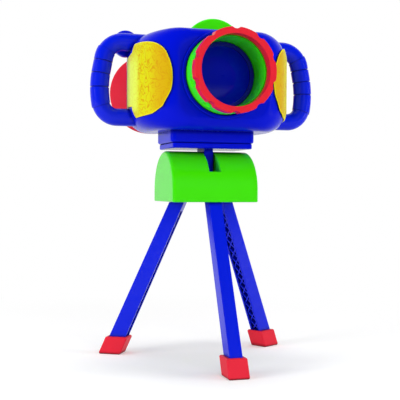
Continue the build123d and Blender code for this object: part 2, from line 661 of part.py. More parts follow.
# Ribs inside the rear shell: screw posts and floor bosses
with BuildPart() as rear_ribs:
    with BuildSketch(front_plane(HANDLE_Y)):
        with Locations(*SHELL_POSTS):
            Circle(POST_RADIUS)
    extrude(amount=-BODY_DEPTH)
    with BuildSketch(Plane.XY.offset(BODY_BOTTOM)):
        with Locations(*[(x, y) for x, y in BLOCK_SCREWS if y > HANDLE_Y]):
            Circle(POST_RADIUS)
    extrude(amount=3 * WALL)
    add(rib_form, mode=Mode.INTERSECT)

# Rear shell: back of the housing, with slots for the strap lugs and the plinth that the mask grips
with BuildPart() as rear_shell:
    add(outer_form)
    split(bisect_by=front_plane(HANDLE_Y), keep=Keep.BOTTOM)
    split(bisect_by=Plane.XY.offset(BODY_BOTTOM), keep=Keep.TOP)
    with BuildSketch(front_plane(BODY_REAR + PLINTH_LENGTH, z=EYE_Z)):
        SlotCenterToCenter(2 * PLINTH_X, 2 * PLINTH_RADIUS)
    extrude(amount=PLINTH_LENGTH + REAR_EDGE_DEPTH)
    add(cavity_form, mode=Mode.SUBTRACT)
    add(rear_ribs.part)
    with BuildSketch(front_plane(BODY_REAR + 2 * PLINTH_LENGTH, z=EYE_Z)):
        with Locations((-EYE_X, 0), (EYE_X, 0)):
            Circle(EYE_TUBE_RADIUS + EYE_TUBE_PLAY)
    extrude(amount=2 * PLINTH_LENGTH + REAR_EDGE_DEPTH, mode=Mode.SUBTRACT)
    with BuildSketch(front_plane(BODY_REAR)):
        with Locations(*SHELL_POSTS):
            Circle(SCREW_RADIUS + SCREW_FIT)
    extrude(amount=BODY_DEPTH, mode=Mode.SUBTRACT)
    with BuildSketch(front_plane(BODY_REAR)):
        with Locations(*SHELL_POSTS):
            Circle(SCREW_HEAD_RADIUS + SCREW_FIT)
    extrude(amount=SCREW_RECESS, mode=Mode.SUBTRACT)
    with BuildSketch(Plane.XY.offset(BODY_BOTTOM - WALL)):
        with Locations(*BLOCK_SCREWS):
            Circle(SCREW_RADIUS + SCREW_FIT)
    extrude(amount=3 * WALL + SCREW_FIT, mode=Mode.SUBTRACT)
    for arm_z in (UPPER_ARM_Z, LOWER_ARM_Z):
        for side in (-1, 1):
            with BuildSketch(Plane.YZ.offset(side * (BODY_SIDE - HANDLE_ROOT - ARM_FIT))):
                with Locations((HANDLE_Y, arm_z)):
                    Circle(ARM_RADIUS + ARM_FIT)
            extrude(amount=side * BODY_SIDE, mode=Mode.SUBTRACT)
    with BuildSketch(front_plane(STRAP_LUG_Y + STRAP_LUG_THICKNESS + STRAP_LUG_FIT)):
        with Locations((-STRAP_LUG_X, STRAP_LUG_Z), (STRAP_LUG_X, STRAP_LUG_Z)):
            Circle(STRAP_LUG_RADIUS + STRAP_LUG_FIT)
    extrude(amount=STRAP_LUG_THICKNESS + 2 * STRAP_LUG_FIT, mode=Mode.SUBTRACT)
save(rear_shell, "rear_shell")

# Strap lugs: round plates let into slots in the rear shell, each with a hole for a neck strap
for lug_name, side in (("left", -1), ("right", 1)):
    with BuildPart() as strap_lug:
        with BuildSketch(front_plane(STRAP_LUG_Y + STRAP_LUG_THICKNESS)):
            with Locations((side * STRAP_LUG_X, STRAP_LUG_Z)):
                Circle(STRAP_LUG_RADIUS)
        extrude(amount=STRAP_LUG_THICKNESS)
        fillet(strap_lug.edges().filter_by(GeomType.CIRCLE), STRAP_LUG_ROUND)
        with BuildSketch(front_plane(STRAP_LUG_Y + STRAP_LUG_THICKNESS)):
            hole_x = side * (STRAP_LUG_X + STRAP_HOLE_SHIFT)
            with Locations((hole_x, STRAP_LUG_Z + STRAP_HOLE_SHIFT)):
                Circle(STRAP_HOLE_RADIUS)
        extrude(amount=STRAP_LUG_THICKNESS, mode=Mode.SUBTRACT)
    save(strap_lug, f"{lug_name}_strap_lug")

with BuildPart() as shell_screws:
    with BuildSketch(front_plane(BODY_REAR - SCREW_RECESS + SCREW_HEAD)):
        with Locations(*SHELL_POSTS):
            Circle(SCREW_HEAD_RADIUS)
    extrude(amount=SCREW_HEAD)
    with BuildSketch(front_plane(BODY_REAR - SCREW_RECESS)):
        with Locations(*SHELL_POSTS):
            Circle(SCREW_RADIUS)
    extrude(amount=BODY_REAR - SCREW_RECESS - HANDLE_Y + SCREW_GRIP)
save(shell_screws, "shell_screws")

# Handles: tubes held between the shells at both ends, with a bowed grip that is parted into rings
with BuildPart() as left_handle:
    with BuildLine(front_plane(HANDLE_Y)) as handle_path:
        FilletPolyline(
            (-BODY_SIDE + HANDLE_ROOT, UPPER_ARM_Z),
            (-BODY_SIDE - UPPER_ELBOW, UPPER_ARM_Z),
            (-BODY_SIDE - GRIP_REACH, BODY_BOTTOM + GRIP_RISE),
            (-BODY_SIDE - LOWER_ELBOW, LOWER_ARM_Z),
            (-BODY_SIDE + HANDLE_ROOT, LOWER_ARM_Z),
            radius=GRIP_BENDS,
        )
    tube = handle_path.wires()[0]
    with BuildSketch(Plane(origin=tube @ 0, z_dir=tube % 0)):
        Circle(ARM_RADIUS)
    sweep(path=tube)
    grip = tube.trim(GRIP_START / tube.length, (GRIP_START + sum(GRIP_RINGS)) / tube.length)
    with BuildSketch(Plane(origin=grip @ 0, z_dir=grip % 0)):
        Circle(GRIP_RADIUS)
    sweep(path=grip)
    ring_end = GRIP_START
    for ring_length in GRIP_RINGS[:-1]:
        ring_end += ring_length
        share = ring_end / tube.length
        with BuildSketch(Plane(origin=tube @ share, z_dir=tube % share)):
            Circle(2 * GRIP_RADIUS)
            Circle(GRIP_RADIUS - RING_GROOVE_DEPTH, mode=Mode.SUBTRACT)
        extrude(amount=RING_GROOVE / 2, both=True, mode=Mode.SUBTRACT)
save(left_handle, "left_handle")

with BuildPart() as right_handle:
    add(left_handle.part)
    mirror(about=Plane.YZ, mode=Mode.REPLACE)
save(right_handle, "right_handle")

# Side pads: a skin over the front corner that narrows to run back between the arms
with BuildPart() as left_pad:
    with BuildSketch(front_plane(PAD_FOLD, x=-BODY_SIDE, z=BODY_BOTTOM)):
        with BuildLine():
            tip = (0, PAD_TIP)
            ThreePointArc(*PAD_BROW)
            ThreePointArc(PAD_BROW[2], PAD_CHEEK, PAD_CHIN[0])
            ThreePointArc(*PAD_CHIN)
            Polyline(
                PAD_CHIN[2],
                tip,
                (-BODY_SIDE, PAD_TIP),
                (-BODY_SIDE, PAD_BROW[0][1]),
                PAD_BROW[0],
            )
        make_face()
    extrude(amount=BODY_FRONT)
    side_low = LOWER_ARM + ARM_RADIUS + PAD_ARM_GAP
    with BuildSketch(Plane(origin=(-BODY_SIDE, 0, BODY_BOTTOM), x_dir=(0, 1, 0), z_dir=(1, 0, 0))):
        with BuildLine():
            Polyline(
                (PAD_FOLD, PAD_TIP),
                (PAD_WAIST, side_low),
                (PAD_REAR, side_low),
                (PAD_REAR, PAD_REAR_TOP),
                (PAD_WAIST, PAD_SHOULDER),
                (PAD_WAIST, PAD_BROW[0][1]),
                (PAD_FOLD, PAD_BROW[0][1]),
                close=True,
            )
        make_face()
    extrude(amount=FRONT_SHOULDER / 2, both=True)
    add(housing_form(-PAD_PROUD), mode=Mode.INTERSECT)
    add(outer_form, mode=Mode.SUBTRACT)
save(left_pad, "left_pad")

with BuildPart() as right_pad:
    add(left_pad.part)
    mirror(about=Plane.YZ, mode=Mode.REPLACE)
save(right_pad, "right_pad")

# Focus sleeve: the dimpled green tube turns in the collar, held by its flange behind the guide
with BuildPart() as focus_sleeve:
    with BuildSketch(front_plane(-SLEEVE_TAIL, z=AXIS_Z)):
        Circle(SLEEVE_RADIUS)
    extrude(amount=SLEEVE_FRONT - SLEEVE_TAIL)
    with Locations(front_plane(-SLEEVE_FRONT + DIMPLE_BACK, z=AXIS_Z)):
        dimple_reach = SLEEVE_RADIUS - DIMPLE_DEPTH + DIMPLE_RADIUS
        with PolarLocations(dimple_reach, NOTCH_COUNT, start_angle=90):
            Sphere(DIMPLE_RADIUS, mode=Mode.SUBTRACT)
    with BuildSketch(front_plane(-FLANGE_FRONT + FLANGE_THICKNESS, z=AXIS_Z)):
        Circle(FLANGE_RADIUS)
    extrude(amount=FLANGE_THICKNESS)
    with BuildSketch(front_plane(-SLEEVE_FRONT, z=AXIS_Z)):
        Circle(SPIGOT_RADIUS)
        Circle(SPIGOT_BORE, mode=Mode.SUBTRACT)
    extrude(amount=SPIGOT_LENGTH)
    with BuildSketch(front_plane(-SLEEVE_TAIL, z=AXIS_Z)):
        Circle(SLEEVE_BORE)
    extrude(amount=RING_FRONT, mode=Mode.SUBTRACT)
save(focus_sleeve, "focus_sleeve")

# Grip ring: the red notched ring, grooved behind for the sleeve's thin spigot
with BuildPart() as grip_ring:
    with BuildSketch(front_plane(-SLEEVE_FRONT, z=AXIS_Z)):
        Circle(RING_RADIUS)
    extrude(amount=RING_FRONT - SLEEVE_FRONT)
    fillet(grip_ring.edges().filter_by(GeomType.CIRCLE), RING_EDGE)
    with BuildSketch(front_plane(-SLEEVE_FRONT, z=AXIS_Z)):
        with PolarLocations(RING_RADIUS - NOTCH_DEPTH + NOTCH_RADIUS, NOTCH_COUNT, start_angle=90):
            Circle(NOTCH_RADIUS)
    extrude(amount=RING_FRONT - SLEEVE_FRONT, mode=Mode.SUBTRACT)
    with BuildSketch(front_plane(-SLEEVE_FRONT, z=AXIS_Z)):
        Circle(RING_BORE)
    extrude(amount=RING_FRONT, mode=Mode.SUBTRACT)
    with BuildSketch(front_plane(-SLEEVE_FRONT, z=AXIS_Z)):
        Circle(SPIGOT_RADIUS + SPIGOT_FIT)
        Circle(SPIGOT_BORE - SPIGOT_FIT, mode=Mode.SUBTRACT)
    extrude(amount=SPIGOT_LENGTH, mode=Mode.SUBTRACT)
save(grip_ring, "grip_ring")

# Lens cell: slides in the sleeve as it turns, kept from turning by a fork on the key rail
with BuildPart() as lens_cell:
    with BuildSketch(front_plane(-CELL_FRONT + CELL_LENGTH, z=AXIS_Z)):
        Circle(CELL_RADIUS)
    extrude(amount=CELL_LENGTH)
    fork_half = KEY_WIDTH / 2 + KEY_PLAY + KEY_FORK
    fork_front = -SLEEVE_TAIL + KEY_LENGTH / 2
    fork_low = BODY_BOTTOM + KEY_RAIL_HEIGHT - KEY_LENGTH / 2
    fork_top = AXIS_Z - CELL_BORE
    with BuildSketch(front_plane(-CELL_FRONT + CELL_LENGTH, z=AXIS_Z)):
        with BuildLine():
            tab_low = -sqrt(CELL_RADIUS**2 - fork_half**2)
            tab_top = fork_top - AXIS_Z + KEY_FORK
            Polyline((-fork_half, tab_low), (-fork_half, tab_top), (fork_half, tab_top), (fork_half, tab_low))
            ThreePointArc((fork_half, tab_low), (0, -CELL_RADIUS), (-fork_half, tab_low))
        make_face()
    extrude(amount=-(CELL_FRONT - CELL_LENGTH + fork_front + KEY_LENGTH))
    with BuildSketch(front_plane(fork_front + KEY_LENGTH)):
        with Locations((0, fork_low)):
            Rectangle(2 * fork_half, fork_top - fork_low, align=(Align.CENTER, Align.MIN))
            Rectangle(
                KEY_WIDTH + 2 * KEY_PLAY,
                BODY_BOTTOM + KEY_RAIL_HEIGHT + KEY_PLAY - fork_low,
                align=(Align.CENTER, Align.MIN),
                mode=Mode.SUBTRACT,
            )
    extrude(amount=KEY_LENGTH)
    with BuildSketch(front_plane(-CELL_FRONT + CELL_LENGTH, z=AXIS_Z)):
        Circle(CELL_BORE)
    extrude(amount=CELL_LENGTH, mode=Mode.SUBTRACT)
    with BuildSketch(front_plane(-LENS_SEAT + LENS_EDGE, z=AXIS_Z)):
        Circle(LENS_RADIUS + LENS_FIT)
    extrude(amount=CELL_LENGTH, mode=Mode.SUBTRACT)
save(lens_cell, "lens_cell")


def lens(radius, clear, edge, bulge, front, x, z):
    """A double-convex lens with a flat rim, round an axis along Y, its rim's front face at a given place."""
    sphere = (clear**2 + bulge**2) / (2 * bulge)
    mid_bulge = sqrt(sphere**2 - (clear / 2) ** 2) - (sphere - bulge)
    with BuildPart() as glass:
        with BuildSketch(Plane(origin=(x, front, z), x_dir=(1, 0, 0), z_dir=(0, 0, 1))):
            with BuildLine():
                Line((radius, 0), (clear, 0))
                ThreePointArc((clear, 0), (clear / 2, -mid_bulge), (0, -bulge))
                Line((0, -bulge), (0, edge + bulge))
                ThreePointArc((0, edge + bulge), (clear / 2, edge + mid_bulge), (clear, edge))
                Line((clear, edge), (radius, edge))
                Line((radius, edge), (radius, 0))
            make_face()
        revolve(axis=Axis((x, front, z), (0, 1, 0)))
    return glass


objective_lens = lens(LENS_RADIUS, CELL_BORE - LENS_RIM, LENS_EDGE, LENS_BULGE, -LENS_SEAT, 0, AXIS_Z)
save(objective_lens, "objective_lens")

# Lens retainer: a thin ring in the cell's mouth
with BuildPart() as lens_retainer:
    with BuildSketch(front_plane(-LENS_SEAT, z=AXIS_Z)):
        Circle(LENS_RADIUS)
        Circle(RETAINER_BORE, mode=Mode.SUBTRACT)
    extrude(amount=LENS_SETBACK)
save(lens_retainer, "lens_retainer")

# Focus wheel: stands out of the roof's slot, dished on both faces round its hub
with BuildPart() as focus_wheel:
    wheel_rear = -WHEEL_FRONT + WHEEL_THICKNESS
    with BuildSketch(front_plane(wheel_rear, z=SPINDLE_Z)):
        Circle(WHEEL_RADIUS)
    extrude(amount=WHEEL_THICKNESS)
    fillet(focus_wheel.edges().filter_by(GeomType.CIRCLE), WHEEL_ROUND)
    for dish_face in (wheel_rear, -WHEEL_FRONT + WHEEL_DISH):
        with BuildSketch(front_plane(dish_face, z=SPINDLE_Z)):
            Circle(WHEEL_RADIUS - WHEEL_RIM)
            Circle(WHEEL_HUB_RADIUS, mode=Mode.SUBTRACT)
        extrude(amount=WHEEL_DISH, mode=Mode.SUBTRACT)
    with BuildSketch(front_plane(wheel_rear, z=SPINDLE_Z)):
        Circle(SPINDLE_RADIUS + PIN_FIT)
    extrude(amount=WHEEL_THICKNESS, mode=Mode.SUBTRACT)
save(focus_wheel, "focus_wheel")

# Wheel spindle: runs in the roof's lugs and screws through the eyepiece bridge
with BuildPart() as wheel_spindle:
    with BuildSketch(front_plane(SPINDLE_TAIL, z=SPINDLE_Z)):
        Circle(SPINDLE_RADIUS)
    extrude(amount=SPINDLE_TAIL + WHEEL_FRONT + LUG_GAP + LUG_THICKNESS)
    chamfer(wheel_spindle.edges().filter_by(GeomType.CIRCLE), SPINDLE_RADIUS / 5)
save(wheel_spindle, "wheel_spindle")

# Eyepiece bridge: a plate that carries both eyepiece tubes and the spindle's nut
with BuildPart() as eyepiece_bridge:
    with BuildSketch(front_plane(BRIDGE_Y + BRIDGE_THICKNESS, z=EYE_Z)):
        Rectangle(2 * EYE_X, BRIDGE_DEPTH)
        with Locations((-EYE_X, 0), (EYE_X, 0)):
            Circle(EYE_TUBE_RADIUS + BRIDGE_RING)
        Rectangle(BRIDGE_STEM, SPINDLE_Z - EYE_Z, align=(Align.CENTER, Align.MIN))
        with Locations((0, SPINDLE_Z - EYE_Z)):
            Circle(BRIDGE_STEM / 2)
            Circle(SPINDLE_RADIUS + PIN_FIT, mode=Mode.SUBTRACT)
        with Locations((-EYE_X, 0), (EYE_X, 0)):
            Circle(EYE_TUBE_RADIUS + BRIDGE_FIT, mode=Mode.SUBTRACT)
    extrude(amount=BRIDGE_THICKNESS)
save(eyepiece_bridge, "eyepiece_bridge")

for eye_name, eye_x in (("left", -EYE_X), ("right", EYE_X)):
    with BuildPart() as eyepiece:
        with BuildSketch(front_plane(EYE_TUBE_REAR, x=eye_x, z=EYE_Z)):
            Circle(EYE_TUBE_RADIUS)
            Circle(EYE_TUBE_BORE, mode=Mode.SUBTRACT)
        extrude(amount=EYE_TUBE_REAR - EYE_TUBE_FRONT)
        with BuildSketch(front_plane(EYE_TUBE_REAR, x=eye_x, z=EYE_Z)):
            Circle(EYE_LENS_RADIUS + LENS_FIT)
        extrude(amount=EYE_LENS_SEAT + EYE_LENS_EDGE, mode=Mode.SUBTRACT)
    save(eyepiece, f"{eye_name}_eyepiece")
    eye_front = EYE_TUBE_REAR - EYE_LENS_SEAT - EYE_LENS_EDGE
    eye_clear = EYE_TUBE_BORE - LENS_RIM
    eye_lens = lens(EYE_LENS_RADIUS, eye_clear, EYE_LENS_EDGE, EYE_LENS_BULGE, eye_front, eye_x, EYE_Z)
    save(eye_lens, f"{eye_name}_eye_lens")


def mask_form(inset):
    """The mask's flare from the plinth to the face, drawn in by its wall."""
    base_radius = PLINTH_RADIUS + MASK_FIT + MASK_WALL - inset
    mid_y = BODY_REAR + PLINTH_LENGTH
    with BuildPart() as form:
        with BuildSketch(front_plane(BODY_REAR + MASK_GAP, z=EYE_Z)):
            SlotCenterToCenter(2 * PLINTH_X, 2 * base_radius)
        with BuildSketch(front_plane(mid_y, z=EYE_Z)):
            SlotCenterToCenter(2 * PLINTH_X, 2 * base_radius)
        loft(ruled=True)
        with BuildSketch(front_plane(mid_y, z=EYE_Z)):
            SlotCenterToCenter(2 * PLINTH_X, 2 * base_radius)
        with BuildSketch(front_plane(MASK_REAR, z=MASK_Z)):
            SlotCenterToCenter(2 * MASK_LOBE_X, 2 * (MASK_LOBE_RADIUS - inset))
        loft(ruled=True)
    return form.part


# Eye mask: a soft flared goggle that grips the plinth, cut away for the nose
with BuildPart() as eye_mask:
    add(mask_form(0))
    add(mask_form(MASK_WALL), mode=Mode.SUBTRACT)
    nose_z = MASK_Z - MASK_LOBE_RADIUS
    with BuildSketch(front_plane(MASK_REAR, z=nose_z)):
        Circle(NOSE_RADIUS)
    with BuildSketch(front_plane(MASK_REAR - NOSE_DEPTH, z=nose_z)):
        Circle(NOSE_TIP_RADIUS)
    loft(mode=Mode.SUBTRACT)
save(eye_mask, "eye_mask")
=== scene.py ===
import bmesh
import bpy
from math import cos, pi, radians, sin
from mathutils import Matrix, Vector
from mathutils.kdtree import KDTree


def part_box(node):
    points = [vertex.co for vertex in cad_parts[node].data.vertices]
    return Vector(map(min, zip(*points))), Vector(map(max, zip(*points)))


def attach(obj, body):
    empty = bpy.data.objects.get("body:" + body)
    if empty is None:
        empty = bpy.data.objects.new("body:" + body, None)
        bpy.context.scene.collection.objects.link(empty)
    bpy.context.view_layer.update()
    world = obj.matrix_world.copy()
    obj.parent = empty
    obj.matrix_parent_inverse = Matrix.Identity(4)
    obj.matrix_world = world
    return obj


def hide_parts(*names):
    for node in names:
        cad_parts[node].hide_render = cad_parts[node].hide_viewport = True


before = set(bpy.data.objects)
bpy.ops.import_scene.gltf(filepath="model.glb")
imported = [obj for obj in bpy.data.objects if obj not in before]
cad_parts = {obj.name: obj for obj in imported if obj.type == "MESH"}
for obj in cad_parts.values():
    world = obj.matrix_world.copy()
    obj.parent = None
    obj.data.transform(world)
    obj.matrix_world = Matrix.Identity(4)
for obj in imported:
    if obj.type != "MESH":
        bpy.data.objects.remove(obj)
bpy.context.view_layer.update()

# Tripod legs: three tapered channel mouldings in blue plastic, stiffened on their open side by
# crossed ribs, each hung from a steel pin in the head. The mould leaves a faint grain on the skin,
# handling rubs the edges paler, and painted shade darkens the creases and corners.


def put(tree, socket, value):
    """Link a socket to another one, or set it to a plain value."""
    if isinstance(value, bpy.types.NodeSocket):
        tree.links.new(value, socket)
    else:
        socket.default_value = value


def add_node(tree, kind, **values):
    """A shader node with its inputs linked or set, and its other settings made."""
    node = tree.nodes.new(kind)
    for name, value in values.items():
        if name in node.inputs.keys():
            put(tree, node.inputs[name], value)
        else:
            setattr(node, name, value)
    return node


def maths(tree, operation, *values):
    """The result of one maths step on sockets or plain numbers."""
    step = add_node(tree, "ShaderNodeMath", operation=operation)
    for socket, value in zip(step.inputs, values):
        put(tree, socket, value)
    return step.outputs[0]


def rescale(tree, value, source, target=(0.0, 1.0), style="LINEAR"):
    """A value taken from one range to another, and held at its ends."""
    step = add_node(tree, "ShaderNodeMapRange", interpolation_type=style, Value=value)
    for name, number in zip(("From Min", "From Max", "To Min", "To Max"), (*source, *target)):
        step.inputs[name].default_value = number
    return step.outputs[0]


def new_group(name, sockets):
    """An empty shader node group with its named sockets, and its input and output nodes."""
    group = bpy.data.node_groups.new(name, "ShaderNodeTree")
    for label, in_out, kind, value in sockets:
        socket = group.interface.new_socket(label, in_out=in_out, socket_type=kind)
        if value is not None:
            socket.default_value = value
    return group, group.nodes.new("NodeGroupInput"), group.nodes.new("NodeGroupOutput")


def new_material(name):
    """A new material, with its node tree and its shader."""
    material = bpy.data.materials.new(name)
    material.use_nodes = True
    return material, material.node_tree, material.node_tree.nodes["Principled BSDF"]


FLOW_SCALE = 34.0
SCUFF_SCALE = 150.0
SCUFF_SEEN = (0.3, 0.75)
SCUFF_ROUGHNESS = (-0.02, 0.04)
GRAIN_DEPTH = 0.0003

moulded_skin, skin_in, skin_out = new_group(
    "moulded skin",
    [
        ("Colour", "INPUT", "NodeSocketColor", (0.5, 0.5, 0.5, 1.0)),
        ("Mottle", "INPUT", "NodeSocketFloat", 0.06),
        ("Roughness", "INPUT", "NodeSocketFloat", 0.4),
        ("Grain", "INPUT", "NodeSocketFloat", 900.0),
        ("Colour", "OUTPUT", "NodeSocketColor", None),
        ("Roughness", "OUTPUT", "NodeSocketFloat", None),
        ("Height", "OUTPUT", "NodeSocketFloat", None),
    ],
)
skin_place = add_node(moulded_skin, "ShaderNodeTexCoord").outputs["Object"]
skin_flow = add_node(
    moulded_skin,
    "ShaderNodeTexNoise",
    Vector=skin_place,
    Scale=FLOW_SCALE,
    Detail=3.0,
    Roughness=0.55,
)
skin_grain = add_node(
    moulded_skin,
    "ShaderNodeTexNoise",
    Vector=skin_place,
    Scale=skin_in.outputs["Grain"],
    Detail=2.0,
    Roughness=0.6,
)
skin_scuff = add_node(
    moulded_skin,
    "ShaderNodeTexNoise",
    Vector=skin_place,
    Scale=SCUFF_SCALE,
    Detail=4.0,
    Distortion=1.4,
)
skin_swing = maths(moulded_skin, "SUBTRACT", skin_flow.outputs["Fac"], 0.5)
skin_share = maths(moulded_skin, "MULTIPLY_ADD", skin_swing, skin_in.outputs["Mottle"], 1.0)
skin_tint = add_node(
    moulded_skin,
    "ShaderNodeVectorMath",
    operation="SCALE",
    Vector=skin_in.outputs["Colour"],
    Scale=skin_share,
)
skin_worn = rescale(moulded_skin, skin_scuff.outputs["Fac"], SCUFF_SEEN, SCUFF_ROUGHNESS)
skin_sheen = maths(moulded_skin, "ADD", skin_in.outputs["Roughness"], skin_worn)
put(moulded_skin, skin_out.inputs["Colour"], skin_tint.outputs[0])
put(moulded_skin, skin_out.inputs["Roughness"], skin_sheen)
put(moulded_skin, skin_out.inputs["Height"], skin_grain.outputs["Fac"])

RUBBED_TURN = (0.985, 0.8)
# Painted shade: how far the occlusion mask looks, how open a place must be to escape it, and how
# dark it paints creases and corners.
PAINTED_SHADE_REACH = 0.0045
PAINTED_SHADE_OPEN = (0.3, 0.93)
PAINTED_SHADE_TINT = (0.25, 1.0)

rounded_edge, edge_in, edge_out = new_group(
    "rounded edge",
    [
        ("Colour", "INPUT", "NodeSocketColor", (0.5, 0.5, 0.5, 1.0)),
        ("Rubbed", "INPUT", "NodeSocketFloat", 0.2),
        ("Radius", "INPUT", "NodeSocketFloat", 0.0006),
        ("Colour", "OUTPUT", "NodeSocketColor", None),
        ("Normal", "OUTPUT", "NodeSocketVector", None),
    ],
)
edge_bevel = add_node(rounded_edge, "ShaderNodeBevel", samples=6, Radius=edge_in.outputs["Radius"])
edge_face = add_node(rounded_edge, "ShaderNodeNewGeometry")
edge_turn = add_node(rounded_edge, "ShaderNodeVectorMath", operation="DOT_PRODUCT")
put(rounded_edge, edge_turn.inputs[0], edge_bevel.outputs["Normal"])
put(rounded_edge, edge_turn.inputs[1], edge_face.outputs["Normal"])
edge_mask = rescale(rounded_edge, edge_turn.outputs["Value"], RUBBED_TURN)
edge_share = maths(rounded_edge, "MULTIPLY_ADD", edge_mask, edge_in.outputs["Rubbed"], 1.0)
# Painted shade: the colour is darkened where the occlusion mask finds surfaces close by, in
# creases, corners, dimples and joins.
edge_crease = add_node(
    rounded_edge, "ShaderNodeAmbientOcclusion", samples=16, Distance=PAINTED_SHADE_REACH
)
edge_painted_shade = rescale(rounded_edge, edge_crease.outputs["AO"], PAINTED_SHADE_OPEN, PAINTED_SHADE_TINT)
edge_tint = add_node(
    rounded_edge,
    "ShaderNodeVectorMath",
    operation="SCALE",
    Vector=edge_in.outputs["Colour"],
    Scale=maths(rounded_edge, "MULTIPLY", edge_share, edge_painted_shade),
)
put(rounded_edge, edge_out.inputs["Colour"], edge_tint.outputs[0])
put(rounded_edge, edge_out.inputs["Normal"], edge_bevel.outputs["Normal"])


def moulding(
    name,
    colour,
    roughness=0.17,
    gloss=0.2,
    mottle=0.06,
    radius=0.0006,
    grain=900.0,
    bump=0.03,
):
    """A moulded finish: the skin's mottle and grain, with rounded and slightly rubbed edges."""
    material, tree, shader = new_material(name)
    shader.inputs["Specular IOR Level"].default_value = gloss
    skin = add_node(
        tree,
        "ShaderNodeGroup",
        node_tree=moulded_skin,
        name="skin",
        Colour=(*colour, 1.0),
        Mottle=mottle,
        Roughness=roughness,
        Grain=grain,
    )
    edge = add_node(
        tree,
        "ShaderNodeGroup",
        node_tree=rounded_edge,
        Colour=skin.outputs["Colour"],
        Radius=radius,
    )
    relief = add_node(
        tree,
        "ShaderNodeBump",
        Strength=bump,
        Distance=GRAIN_DEPTH,
        Height=skin.outputs["Height"],
        Normal=edge.outputs["Normal"],
    )
    put(tree, shader.inputs["Base Color"], edge.outputs["Colour"])
    put(tree, shader.inputs["Roughness"], skin.outputs["Roughness"])
    put(tree, shader.inputs["Normal"], relief.outputs["Normal"])
    return material


def dress(node, material):
    """Give a CAD node its finish."""
    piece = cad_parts[node]
    if not piece.material_slots:
        piece.data.materials.append(material)
    for place in piece.material_slots:
        place.material = material


LEG_NAMES = ("front", "left", "right")
blue_plastic = moulding("blue plastic", (0.0006, 0.0105, 0.62))
for leg in LEG_NAMES:
    dress(f"{leg}_leg", blue_plastic)

# Feet: three soft red rubber boots, pushed on to the legs' ends so that the tripod doesn't slip.
# Their skin is coarser and more matt than the plastic's.
red_rubber = moulding(
    "red rubber",
    (0.69, 0.018, 0.04),
    roughness=0.42,
    gloss=0.12,
    mottle=0.1,
    radius=0.001,
    grain=600.0,
    bump=0.1,
)
for leg in LEG_NAMES:
    dress(f"{leg}_foot", red_rubber)

# Tripod head: a hollow half drum in bright green plastic, slotted over the top for the platform's
# neck, with the three leg sockets moulded inside it.
green_plastic = moulding("green plastic", (0.045, 0.66, 0.0008), radius=0.0008)
dress("tripod_head", green_plastic)

# Pins, screws and spindle: turned steel, on which the tool leaves a fine grain. The tilt pin and
# the leg pins cross the head, and the screws hold the mount block and the shells.
turned_steel, steel_tree, steel_shader = new_material("turned steel")
steel_shader.inputs["Metallic"].default_value = 1.0
steel_skin = add_node(
    steel_tree,
    "ShaderNodeGroup",
    node_tree=moulded_skin,
    Colour=(0.62, 0.62, 0.64, 1.0),
    Roughness=0.3,
    Grain=3000.0,
)
steel_relief = add_node(
    steel_tree,
    "ShaderNodeBump",
    Strength=0.1,
    Distance=0.0001,
    Height=steel_skin.outputs["Height"],
)
put(steel_tree, steel_shader.inputs["Base Color"], steel_skin.outputs["Colour"])
put(steel_tree, steel_shader.inputs["Roughness"], steel_skin.outputs["Roughness"])
put(steel_tree, steel_shader.inputs["Normal"], steel_relief.outputs["Normal"])
for leg in LEG_NAMES:
    dress(f"{leg}_leg_pin", turned_steel)
for metal in ("tilt_pin", "block_screws", "shell_screws", "wheel_spindle"):
    dress(metal, turned_steel)

# Friction washers: black rubber discs on the tilt pin, out of sight between the platform's neck
# and the walls of the slot. Their drag holds the telescope at its tilt.
black_rubber = moulding("black rubber", (0.012, 0.012, 0.013), roughness=0.7)
dress("tilt_washers", black_rubber)

# Tilt platform and mount block: blue plastic plates with a satin skin. The platform swings by its
# neck in the drum's slot, and the block is screwed under the housing and sits on the platform.
satin_blue = moulding("satin blue plastic", (0.0004, 0.0055, 0.56), gloss=0.06)
dress("tilt_platform", satin_blue)
dress("mount_block", satin_blue)

# Housing: two blue shells with the same satin skin, moulded with drawn-in shoulders and screwed
# together at the plane of the handles.
for shell in ("front_shell", "rear_shell"):
    dress(shell, satin_blue)

# Handles and strap lugs: blue plastic tubes with a bowed, ringed grip, and round plates with a
# hole for a neck strap. All are held in the joint between the shells.
for side in ("left", "right"):
    dress(f"{side}_handle", blue_plastic)
    dress(f"{side}_strap_lug", blue_plastic)

# Side pads: soft yellow skins moulded over the housing's front corners, with rolled rims, a trimmed
# lower corner and a soft crease where the corner turns. They are amber, printed with a fine orange
# squiggle that leaves the rims plain. Painted light turns them yellower round the corner and pale
# lemon at the side, where the squiggle fades, and painted shadow of the handle's arms keeps the
# side's top and bottom amber.
# Painted light: the corner yellow and the lemon are the pad's amber as lit where the corner turns
# and at the side. The side's top and bottom, past the heights below, stay amber as painted shadow
# of the handle's arms.
AMBER = (0.57, 0.36, 0.002)
CORNER_LIT_YELLOW = (0.59, 0.57, 0.006)
SIDE_LIT_LEMON = (0.67, 0.78, 0.08)
PRINT_ORANGE = (0.55, 0.29, 0.003)
RIM_YELLOW = (0.86, 0.72, 0.004)
CORNER_LIGHT_FADE = (-0.05, -0.037)
SIDE_LIGHT_FADE = (-0.03, -0.0225)
SIDE_LIGHT_FOOT = (0.2175, 0.2295)
SIDE_LIGHT_HEAD = (0.2815, 0.2625)
PRINT_SCALE = 165.0
PRINT_BANDS = 4.5
PRINT_SHARPNESS = 7.0
PRINT_WEIGHT = 1.3
PRINT_LOSS_IN_LIGHT = 0.75


def blend_colour(tree, mask, first, second):
    """A colour that goes from the first to the second as a mask goes from 0 to 1."""
    mix = add_node(tree, "ShaderNodeMix", data_type="RGBA")
    for place, value in ((0, mask), (6, first), (7, second)):
        put(tree, mix.inputs[place], (*value, 1.0) if isinstance(value, tuple) else value)
    return mix.outputs[2]


def chain(tree, value, *steps):
    """A value taken through a row of maths steps, each with its other values."""
    for operation, *others in steps:
        value = maths(tree, operation, value, *others)
    return value


